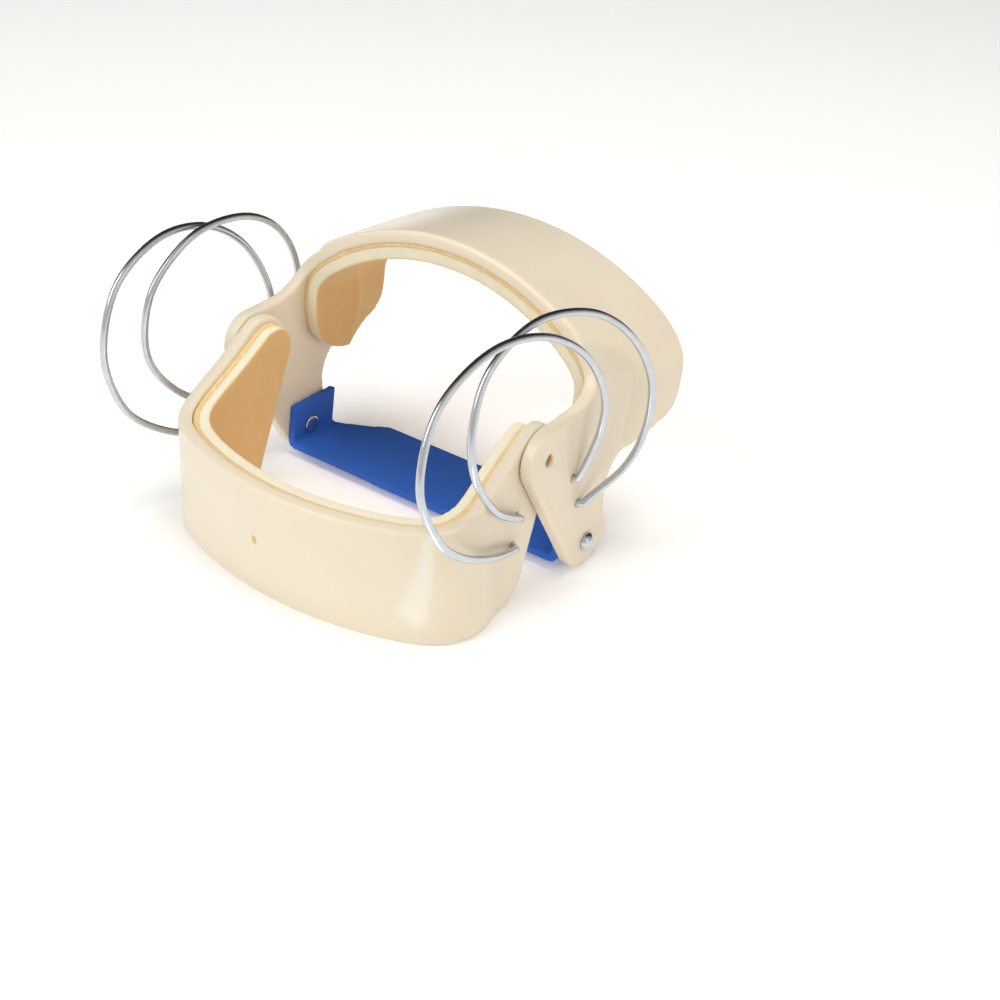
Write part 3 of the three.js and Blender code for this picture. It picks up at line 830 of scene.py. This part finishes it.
def finger_outline(rim_inset, end_radius, back_inset):
    """The finger band from the side: its rim, the leg up to the hinge and round it, and its foot."""
    rim, foot = FINGER_RIM + rim_inset, FINGER_FOOT - rim_inset
    corner = np.array([RIM_TURN_REACH, rim])
    front, touch = tangent_touch(corner, end_radius, -1)
    leg_side = corner + (touch - corner) * CORNER_ROUND / np.linalg.norm(touch - corner)
    back_foot = np.array([LEG_BACK_FOOT[0] + back_inset, LEG_BACK_FOOT[1] - rim_inset])
    back, leave = tangent_touch(back_foot, end_radius, 1)
    foot_turn = back_foot + (leave - back_foot) * (foot - back_foot[1]) / (leave[1] - back_foot[1])
    return np.concatenate([
        [[FINGER_FRONT + REACH, rim]],
        quadratic((corner[0] + CORNER_ROUND, rim), corner, leg_side, 14),
        arc((0, 0), end_radius, front, back - 2 * math.pi, 40),
        quadratic(back_foot, (foot_turn[0], foot), (foot_turn[0] + CORNER_ROUND, foot), 12),
        [[FINGER_FRONT + REACH, foot]],
    ])


def build_finger_band():
    bands = settings().bands
    made = finger_shell("finger_band_plastic", 0, bands.wall)
    trim(made, grow(finger_outline(0, LEG_END_RADIUS, 0), EDGE_GROWTH))
    for side in (1, -1):
        bottom, outside = side * (leg_x() - SLOT_DEPTH), side * (leg_x() + 2 * bands.wall)
        for place in LEG_HOLES.values():
            cut(made, round_bar("slot", place, LEG_SLOT_RADIUS, bottom, outside), "DIFFERENCE")
    round_edges(made, bands.detail, bands.rounding)
    made.data.transform(FINGER_TURN)
    finish_piece(made, plastic(), FINGER_BODY)
    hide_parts("finger_band")


def build_finger_foam():
    bands = settings().bands
    outer = bands.wall + settings().foam.seat + 0.5
    made = finger_shell("finger_foam", outer, foam_face(), LINING_SIGMA)
    trim(made, finger_outline(rim_inset=0.5, end_radius=LEG_END_RADIUS - 1.4, back_inset=3.0))
    round_edges(made, bands.detail, 5)
    mark_lit_edges(made, rim_axis=2, beside_hinge=vertices(made.data)[:, 1] < 20)
    made.data.transform(FINGER_TURN)
    finish_piece(made, foam(), FINGER_BODY)
    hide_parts("finger_lining")


def build_finger_ochre_line():
    """The ochre strip round the finger band's foam, in the gap between it and the plastic."""
    wall = settings().bands.wall
    made = finger_shell("finger_ochre_line", wall - OCHRE_LINE_OVERLAP, wall + 1.3, LINING_SIGMA)
    trim(made, finger_outline(rim_inset=0.45, end_radius=LEG_END_RADIUS - 1.2, back_inset=2.8))
    inside = finger_outline(rim_inset=2.1, end_radius=LEG_END_RADIUS - 3, back_inset=4.4)
    trim(made, inside, "DIFFERENCE")
    round_edges(made, OCHRE_LINE_DETAIL, 2)
    made.data.transform(FINGER_TURN)
    finish_piece(made, ochre_line(), FINGER_BODY)


def build_hinge_pegs():
    """Each peg ends a little below the ear's outer face. Its orange-brown is painted shade: the band's cream
    plastic darkened as if deep in the ear's hole.
    """
    for side, name in SIDES:
        root, end = side * (leg_x() - 1), side * (ear_x() - 1.1)
        made = round_bar(f"hinge_peg_{name}", (0, 0), PEG_RADIUS, root, end)
        finish_piece(made, peg_painted_shade(), FINGER_BODY)


# Palm strap and rivets

STRAP_NEAR = 15.4
STRAP_WIDTH = 23.6
STRAP_TAB = 15.0
STRAP_BEND = 1.0
STRAP_LEVEL = -33.0
STRAP_SAG = 0.35
STRAP_DETAIL = 0.36
TAB_OVER_RIVET = 6.4
SEAT = 0.1
SHANK_RADIUS = 1.1
HEAD_SEAT = 0.05
DOME_HEIGHT = 1.9
INNER_HEAD = 0.55


def strap_x():
    """Where the strap's turned-up ends lie against the ears."""
    return ear_x() - settings().bands.wall - SEAT


def strap_plan():
    """The strap from above: full width at its tabs' ends and one straight far edge between them."""
    inner = leg_x() - settings().bands.wall
    end, far, side = STRAP_NEAR + STRAP_TAB, STRAP_NEAR + STRAP_WIDTH, 60
    return np.concatenate([
        [[-side, STRAP_NEAR - 1], [side, STRAP_NEAR - 1], [side, end]],
        quadratic((ear_x(), end), (inner, end), (inner - STRAP_WIDTH / 2, far), 12),
        quadratic((STRAP_WIDTH / 2 - inner, far), (-inner, end), (-ear_x(), end), 12),
        [[-side, end]],
    ])


def build_strap():
    """One strip of cloth that rises towards its far edge, turns up inside each ear and sags a little."""
    strap = settings().strap
    x = strap_x() - strap.thickness / 2
    turn = arc((x - STRAP_BEND, STRAP_LEVEL + STRAP_BEND), STRAP_BEND, 0, -math.pi / 2, 16)
    half = np.concatenate([[[x, RIVET[1] + TAB_OVER_RIVET]], turn])
    line = resample(np.concatenate([half, (half * [-1, 1])[::-1]]), 240)
    flat_part = line[:, 1] < STRAP_LEVEL + 0.5
    line[:, 1] -= STRAP_SAG * (1 - (line[:, 0] / x) ** 2) * flat_part
    strip = np.concatenate([inset(line, -strap.thickness / 2), inset(line, strap.thickness / 2)[::-1]])
    rings = []
    for run in np.linspace(0, STRAP_WIDTH, 12):
        y = np.full(len(strip), STRAP_NEAR + run)
        rings.append(np.column_stack([strip[:, 0], y, strip[:, 1] + math.tan(STRAP_SLOPE) * run]))
    made = loft("palm_strap_cloth", rings, wall=True)
    plan = strap_plan()
    cut(made, loft("plan", [np.column_stack([plan, np.full(len(plan), z)]) for z in (-60, 0)]), "INTERSECT")
    round_edges(made, STRAP_DETAIL, 2)
    finish_piece(made, strap_cloth(), HAND_BODY)
    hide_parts("palm_strap")


def build_rivets():
    """A flat head inside the strap's tab, a shank and a dome outside the ear."""
    radius = settings().wires.rivet_radius
    inside = strap_x() - settings().strap.thickness - HEAD_SEAT
    outside = ear_x() + HEAD_SEAT
    profile = [
        (inside - INNER_HEAD, radius * 0.8), (inside - INNER_HEAD + 0.15, radius), (inside, radius),
        (inside, SHANK_RADIUS), (outside, SHANK_RADIUS), (outside, radius)]
    for angle in np.linspace(0.08, 0.94, 14) * math.pi / 2:
        profile.append((outside + DOME_HEIGHT * math.sin(angle), radius * math.cos(angle)))
    for side, name in SIDES:
        made = turned(f"rivet_{name}_steel", profile, RIVET, side)
        finish_piece(made, steel(), HAND_BODY)
        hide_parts(f"rivet_{name}")


# Spring wires

WIRE_SIDES = 16
WIRE_IN_HOLE = 1.9


def centripetal(points, step=0.6):
    """A smooth line through points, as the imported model's wires run."""
    p = np.array(points, float)
    p = np.concatenate([[2 * p[0] - p[1]], p, [2 * p[-1] - p[-2]]])
    line = []
    for i in range(1, len(p) - 2):
        p0, p1, p2, p3 = p[i - 1:i + 3]
        t0 = 0.0
        t1 = t0 + math.sqrt(np.linalg.norm(p1 - p0))
        t2 = t1 + math.sqrt(np.linalg.norm(p2 - p1))
        t3 = t2 + math.sqrt(np.linalg.norm(p3 - p2))
        count = max(3, int(np.linalg.norm(p2 - p1) / step))
        for t in np.linspace(t1, t2, count, endpoint=False):
            a1 = (t1 - t) / (t1 - t0) * p0 + (t - t0) / (t1 - t0) * p1
            a2 = (t2 - t) / (t2 - t1) * p1 + (t - t1) / (t2 - t1) * p2
            a3 = (t3 - t) / (t3 - t2) * p2 + (t - t2) / (t3 - t2) * p3
            b1 = (t2 - t) / (t2 - t0) * a1 + (t - t0) / (t2 - t0) * a2
            b2 = (t3 - t) / (t3 - t1) * a2 + (t - t1) / (t3 - t1) * a3
            line.append((t2 - t) / (t2 - t1) * b1 + (t - t1) / (t2 - t1) * b2)
    line.append(p[-2])
    return np.array(line)


def wire_turn(side, face, hole, loop_end):
    """A wire's end, from the bottom of its hole round into the loop."""
    towards = np.array([0, loop_end[1] - hole[0], loop_end[2] - hole[1]])
    towards = towards / np.linalg.norm(towards)
    turn = settings().wires.turn
    rows = [(-WIRE_IN_HOLE, 0), (0.2 * turn, 0), (0.75 * turn, 0.3 * turn), (turn, 1.1 * turn)]
    return [np.array([side * (face + out), *hole]) + along * towards for out, along in rows]


def wire_line(side, leg, ear, loop):
    reach, depth = LEG_HOLES[leg]
    hole = FINGER_TURN @ Vector((0, reach, depth))
    points = [np.array([side * (ear_x() + out), y, z]) for out, y, z in loop]
    start = wire_turn(side, leg_x(), (hole.y, hole.z), points[0])
    end = wire_turn(side, ear_x(), EAR_HOLES[ear], points[-1])[::-1]
    return centripetal(start + points + end)


def sweep_group():
    """Geometry Nodes: a round wire along a curve."""
    found = bpy.data.node_groups.get("round_wire")
    if found:
        return found
    group = bpy.data.node_groups.new("round_wire", "GeometryNodeTree")
    sockets = group.interface
    sockets.new_socket("Geometry", in_out="INPUT", socket_type="NodeSocketGeometry")
    sockets.new_socket("Radius", in_out="INPUT", socket_type="NodeSocketFloat")
    sockets.new_socket("Sides", in_out="INPUT", socket_type="NodeSocketInt")
    sockets.new_socket("Material", in_out="INPUT", socket_type="NodeSocketMaterial")
    sockets.new_socket("Geometry", in_out="OUTPUT", socket_type="NodeSocketGeometry")
    nodes, links = group.nodes, group.links
    entry = nodes.new("NodeGroupInput")
    leave = nodes.new("NodeGroupOutput")
    to_curve = nodes.new("GeometryNodeMeshToCurve")
    circle = nodes.new("GeometryNodeCurvePrimitiveCircle")
    sweep = nodes.new("GeometryNodeCurveToMesh")
    real = nodes.new("GeometryNodeRealizeInstances")
    paint = nodes.new("GeometryNodeSetMaterial")
    sweep.inputs["Fill Caps"].default_value = True
    links.new(entry.outputs["Geometry"], to_curve.inputs["Mesh"])
    links.new(entry.outputs["Radius"], circle.inputs["Radius"])
    links.new(entry.outputs["Sides"], circle.inputs["Resolution"])
    links.new(to_curve.outputs["Curve"], sweep.inputs["Curve"])
    links.new(circle.outputs["Curve"], sweep.inputs["Profile Curve"])
    links.new(sweep.outputs["Mesh"], real.inputs["Geometry"])
    links.new(real.outputs["Geometry"], paint.inputs["Geometry"])
    links.new(entry.outputs["Material"], paint.inputs["Material"])
    links.new(paint.outputs["Geometry"], leave.inputs["Geometry"])
    return group


def set_input(modifier, label, value):
    for item in modifier.node_group.interface.items_tree:
        if item.item_type == "SOCKET" and item.in_out == "INPUT" and item.name == label:
            modifier[item.identifier] = value
            return
    raise RuntimeError(f"{modifier.name} has no input named {label}")


def build_wire(name, side, leg, ear, loop):
    """A wire from its hole in the leg round to its hole in the ear, held at both ends and bent between."""
    line = wire_line(side, leg, ear, loop)
    mesh = bpy.data.meshes.new(name)
    mesh.from_pydata([tuple(p) for p in line], [(i, i + 1) for i in range(len(line) - 1)], [])
    made = bpy.data.objects.new(f"{name}_steel", mesh)
    bpy.context.scene.collection.objects.link(made)
    modifier = made.modifiers.new("round_wire", "NODES")
    modifier.node_group = sweep_group()
    set_input(modifier, "Radius", settings().wires.diameter / 2)
    set_input(modifier, "Sides", WIRE_SIDES)
    set_input(modifier, "Material", steel())
    bake(made)
    outward(made)
    finish_piece(made, steel(), None)
    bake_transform(made)
    spread_bend(made, line)
    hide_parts(name)


def spread_bend(made, line):
    """Weighs each point of a wire by where it lies along its line, from the ear's end to the leg's. The
    weights are not used, so the wire is left as it is.
    """
    co = vertices(made.data)
    back = np.array(WORN.inverted())
    local = co @ back[:3, :3].T + back[:3, 3]
    along = np.linspace(1, 0, len(line))
    weight = np.empty(len(local))
    for i, point in enumerate(local):
        weight[i] = along[((line - point) ** 2).sum(1).argmin()]


# Small marks

GATE_MARK_BELOW_RIM = 14.2
GATE_MARK_X = -5.5
GATE_MARK_HALF = (0.75, 1.1)

# Rings of the gate mark: its share of the full size, and how far it stands out of the wall
GATE_MARK_RINGS = [(1.0, -0.3), (0.95, 0.04), (0.6, 0.12), (0.2, 0.15)]


def build_gate_mark():
    """The amber spot that the mould's gate left on the finger band's front."""
    depth = FINGER_RIM + GATE_MARK_BELOW_RIM
    line = finger_line(depth)
    nearest = np.abs(line[:, 0] - GATE_MARK_X).argmin()
    angle = np.linspace(0, 2 * math.pi, 25)[:-1]
    uneven = 1 + 0.12 * np.sin(3 * angle + 1)
    rings = []
    for size, rise in GATE_MARK_RINGS:
        x = line[nearest, 0] + GATE_MARK_HALF[0] * size * uneven * np.cos(angle)
        y = np.interp(x, line[::-1, 0], line[::-1, 1]) + rise
        rings.append(np.column_stack([x, y, depth + GATE_MARK_HALF[1] * size * uneven * np.sin(angle)]))
    made = loft("gate_mark", rings)
    made.data.transform(FINGER_TURN)
    finish_piece(made, amber(), FINGER_BODY)


# Stage, in metres

FLOOR_SIZE = 6


def pale_paper():
    made = bpy.data.materials.new("pale_paper")
    made.use_nodes = True
    shader = made.node_tree.nodes["Principled BSDF"]
    shader.inputs["Base Color"].default_value = (0.93, 0.93, 0.93, 1)
    shader.inputs["Roughness"].default_value = 0.95
    shader.inputs["Specular IOR Level"].default_value = 0.1
    shader.inputs["Emission Color"].default_value = (1, 1, 1, 1)
    shader.inputs["Emission Strength"].default_value = 0.2
    return made


def area_light(name, place, target, size, power, colour, mirrored=True):
    """A softbox that steel and plastic mirror, unless it isn't to be mirrored."""
    data = bpy.data.lights.new(name, "AREA")
    data.shape = "RECTANGLE"
    data.size, data.size_y = size
    data.energy = power
    data.color = colour
    made = bpy.data.objects.new(name, data)
    bpy.context.scene.collection.objects.link(made)
    made.visible_glossy = mirrored
    made.location = place
    made.rotation_euler = (Vector(target) - Vector(place)).to_track_quat("-Z", "Y").to_euler()
    return made


def build_lights():
    stage = settings().stage
    middle = Vector((0, 0, 0.03))
    strip_foot, strip_above = (0.062, -0.066, 0.001), (0.062, -0.066, 1)
    key = area_light("key_softbox", (-0.35, -0.75, 0.65), middle, (0.5, 0.7), stage.key, (0.94, 0.98, 1))
    top = area_light(
        "top_softbox", (0.1, 0.1, 1.0), middle, (0.6, 0.6), stage.fill, (1, 0.99, 0.97), mirrored=False)
    side = area_light("side_softbox", (0.95, -0.15, 0.35), middle, (0.5, 0.5), stage.side, (1, 0.82, 0.6))
    strip = area_light("sheen_strip", strip_foot, strip_above, (0.012, 0.07), stage.sheen, (0.45, 0.75, 1))
    strip.rotation_euler.z += math.radians(55)
    strip.visible_camera = False
    strip.visible_diffuse = False
    return key, top, side, strip


# The camera in the model's drawing frame, in mm: where it stands and which way its picture's right, down
# and forward run
CAMERA_PLACE = (207.43, -279.28, 149.79)
CAMERA_RIGHT = (0.8113, 0.5724, 0.1193)
CAMERA_DOWN = (0.3466, -0.3065, -0.8865)
CAMERA_FORWARD = (-0.4708, 0.7606, -0.4471)


def build_camera():
    data = bpy.data.cameras.new("camera")
    data.lens = settings().stage.lens
    data.sensor_width = 36
    camera = bpy.data.objects.new("camera", data)
    bpy.context.scene.collection.objects.link(camera)
    right, down, forward = (
        (WORN.to_3x3() @ Vector(v)).normalized() for v in (CAMERA_RIGHT, CAMERA_DOWN, CAMERA_FORWARD))
    facing = Matrix((right, -down, -forward)).transposed().to_4x4()
    camera.matrix_world = Matrix.Translation(WORN @ Vector(CAMERA_PLACE)) @ facing
    bpy.context.scene.camera = camera


def build_room():
    """A pale room that is darker behind the splint, so that bright steel shows dark edges."""
    stage = settings().stage
    world = bpy.data.worlds.new("pale_room")
    world.use_nodes = True
    nodes, links = world.node_tree.nodes, world.node_tree.links
    place = nodes.new("ShaderNodeTexCoord")
    backwards = nodes.new("ShaderNodeVectorMath")
    backwards.operation = "DOT_PRODUCT"
    backwards.inputs[1].default_value = (-0.40, 0.65, 0.64)
    level = nodes.new("ShaderNodeMapRange")
    level.interpolation_type = "SMOOTHSTEP"
    level.inputs["From Min"].default_value = 0.1
    level.inputs["From Max"].default_value = 0.7
    level.inputs["To Min"].default_value = stage.sky
    level.inputs["To Max"].default_value = stage.sky * stage.back
    links.new(place.outputs["Generated"], backwards.inputs[0])
    links.new(backwards.outputs["Value"], level.inputs["Value"])
    links.new(level.outputs["Result"], nodes["Background"].inputs["Strength"])
    nodes["Background"].inputs["Color"].default_value = (1, 0.96, 0.90, 1)
    bpy.context.scene.world = world


# Operators

class BuildBands(bpy.types.Operator):
    """Builds the two plastic bands, the hinge pegs and the moulding mark"""
    bl_idname = "splint.build_bands"
    bl_label = "Plastic bands"

    def execute(self, context):
        build_hand_band()
        build_finger_band()
        build_hinge_pegs()
        build_gate_mark()
        return {"FINISHED"}


class BuildFoam(bpy.types.Operator):
    """Builds the foam linings of both bands"""
    bl_idname = "splint.build_foam"
    bl_label = "Foam linings"

    def execute(self, context):
        build_hand_foam()
        build_hand_ochre_line()
        build_finger_foam()
        build_finger_ochre_line()
        return {"FINISHED"}


class BuildStrap(bpy.types.Operator):
    """Builds the palm strap and its rivets"""
    bl_idname = "splint.build_strap"
    bl_label = "Palm strap and rivets"

    def execute(self, context):
        build_strap()
        build_rivets()
        return {"FINISHED"}


class BuildWires(bpy.types.Operator):
    """Builds the four spring wires"""
    bl_idname = "splint.build_wires"
    bl_label = "Spring wires"

    def execute(self, context):
        for row in WIRES:
            build_wire(*row)
        return {"FINISHED"}


class BuildStage(bpy.types.Operator):
    """Puts a pale floor under the splint, with soft light and the camera"""
    bl_idname = "splint.build_stage"
    bl_label = "Stage"

    def execute(self, context):
        half = FLOOR_SIZE / 2
        corners = [(-half, -half, 0), (half, -half, 0), (half, half, 0), (-half, half, 0)]
        floor = make_object("floor", corners, [(0, 1, 2, 3)])
        floor.data.materials.append(pale_paper())
        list(build_lights())
        build_room()
        build_camera()
        context.scene.view_settings.view_transform = "Standard"
        return {"FINISHED"}


class SplintPanel(bpy.types.Panel):
    """Lists the splint's builders"""
    bl_idname = "VIEW3D_PT_splint"
    bl_label = "Knuckle bender splint"
    bl_space_type = "VIEW_3D"
    bl_region_type = "UI"
    bl_category = "Splint"

    def draw(self, context):
        for operator in OPERATORS:
            self.layout.operator(operator.bl_idname)


OPERATORS = (BuildBands, BuildFoam, BuildStrap, BuildWires, BuildStage)
CLASSES = (BandSettings, FoamSettings, StrapSettings, WireSettings, StageSettings, SplintSettings,
           *OPERATORS, SplintPanel)


def register():
    for one in CLASSES:
        bpy.utils.register_class(one)
    bpy.types.Scene.splint_settings = PointerProperty(type=SplintSettings)


def unregister():
    del bpy.types.Scene.splint_settings
    for one in reversed(CLASSES):
        bpy.utils.unregister_class(one)


def main():
    register()
    bpy.ops.splint.build_bands()
    bpy.ops.splint.build_foam()
    bpy.ops.splint.build_strap()
    bpy.ops.splint.build_wires()
    bpy.ops.splint.build_stage()


if __name__ == "__main__":
    main()
